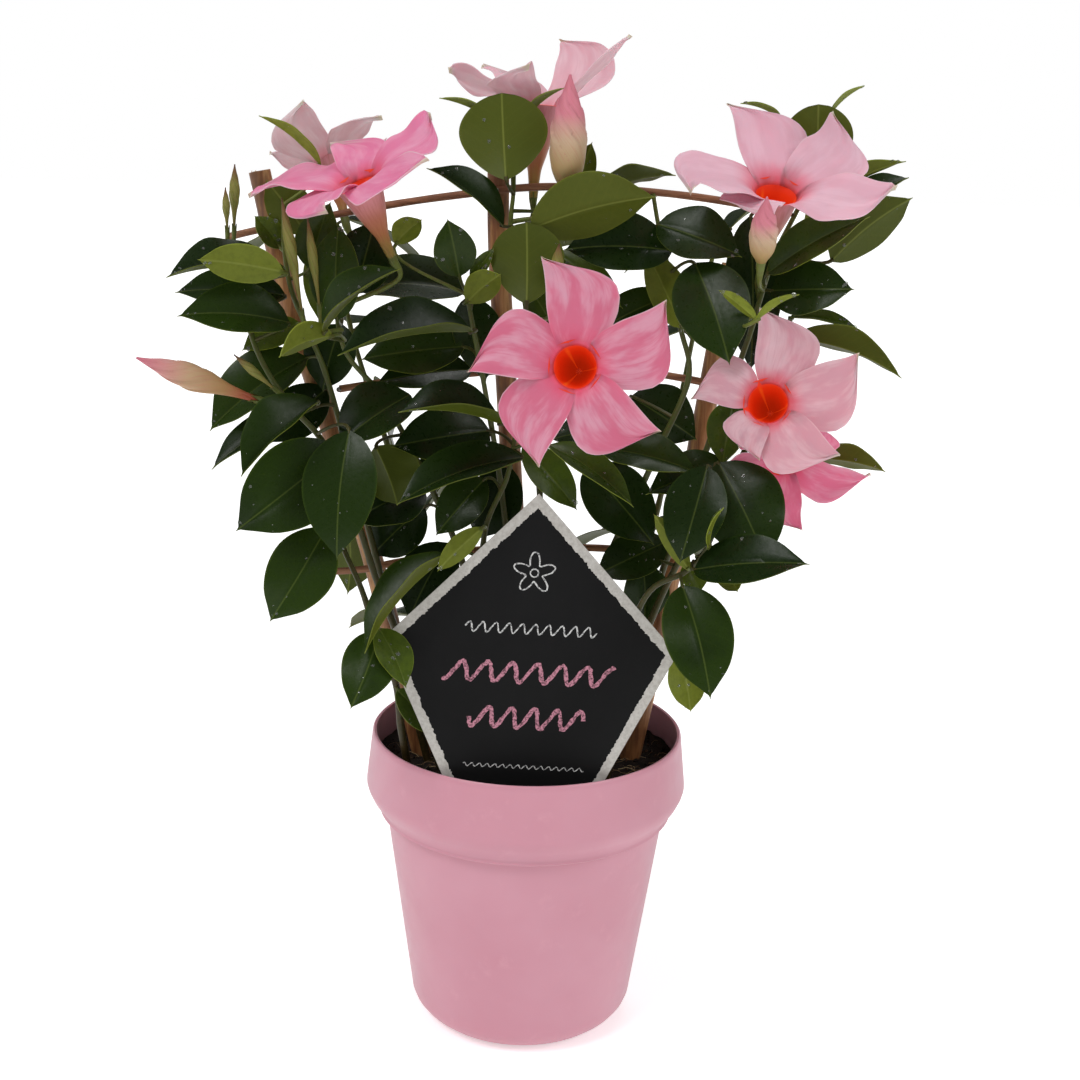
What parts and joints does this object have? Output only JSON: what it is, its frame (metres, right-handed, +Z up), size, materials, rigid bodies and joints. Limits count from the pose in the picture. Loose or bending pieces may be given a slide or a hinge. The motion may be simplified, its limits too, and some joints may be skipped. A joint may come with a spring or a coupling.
{
  "type": "potted climbing plant",
  "caption": "Flowering climber on a fan trellis of canes in a round pot, with soil, stick-in card, leafy shoots, funnel blooms and buds.",
  "frame": {"origin": "centre of the pot's foot, on the floor", "axes": "+Z up along the pot's axis; -Y out of the display side, the face of the card"},
  "size_m": [0.3665, 0.2214, 0.5337],
  "materials": {
    "pot": "satin moulded",
    "soil": "loose coir and peat",
    "cane": "smooth skin",
    "rattan": "smooth skin",
    "nail": "bright",
    "label": "printed card",
    "foliage": "glossy leaf",
    "petal": "soft petal",
    "bud": "soft petal"
  },
  "bodies": {
    "root": {"pot": "pot", "soil": "soil", "stake_left": "cane", "stake_centre": "cane", "stake_right": "cane", "rod_top": "rattan", "rod_middle": "rattan", "rod_lower": "rattan", "nail_1": "nail", "nail_2": "nail", "nail_3": "nail", "nail_4": "nail", "nail_5": "nail", "nail_6": "nail", "nail_7": "nail", "nail_8": "nail", "nail_9": "nail", "label": "label", "shoot_left_rear": "foliage", "shoot_left_front": "foliage", "shoot_left_low": "foliage", "shoot_centre_front": "foliage", "shoot_centre_left": "foliage", "shoot_centre_high": "foliage", "shoot_centre_tall": "foliage", "shoot_right_inner": "foliage", "shoot_right_tall": "foliage", "shoot_right_front": "foliage", "shoot_right_low": "foliage", "shoot_back_left": "foliage", "shoot_back_right": "foliage", "bloom_front": "petal", "bloom_right": "petal", "bloom_low_right": "petal", "bloom_top_right": "petal", "bloom_top": "petal", "bloom_left": "petal", "bloom_left_rear": "petal", "bud_left": "bud", "bud_left_small": "bud", "bud_tall_a": "bud", "bud_tall_b": "bud", "bud_slender_a": "bud", "bud_slender_b": "bud", "bud_middle": "bud", "bud_middle_small": "bud", "bud_right": "bud"}
  },
  "joints": []
}
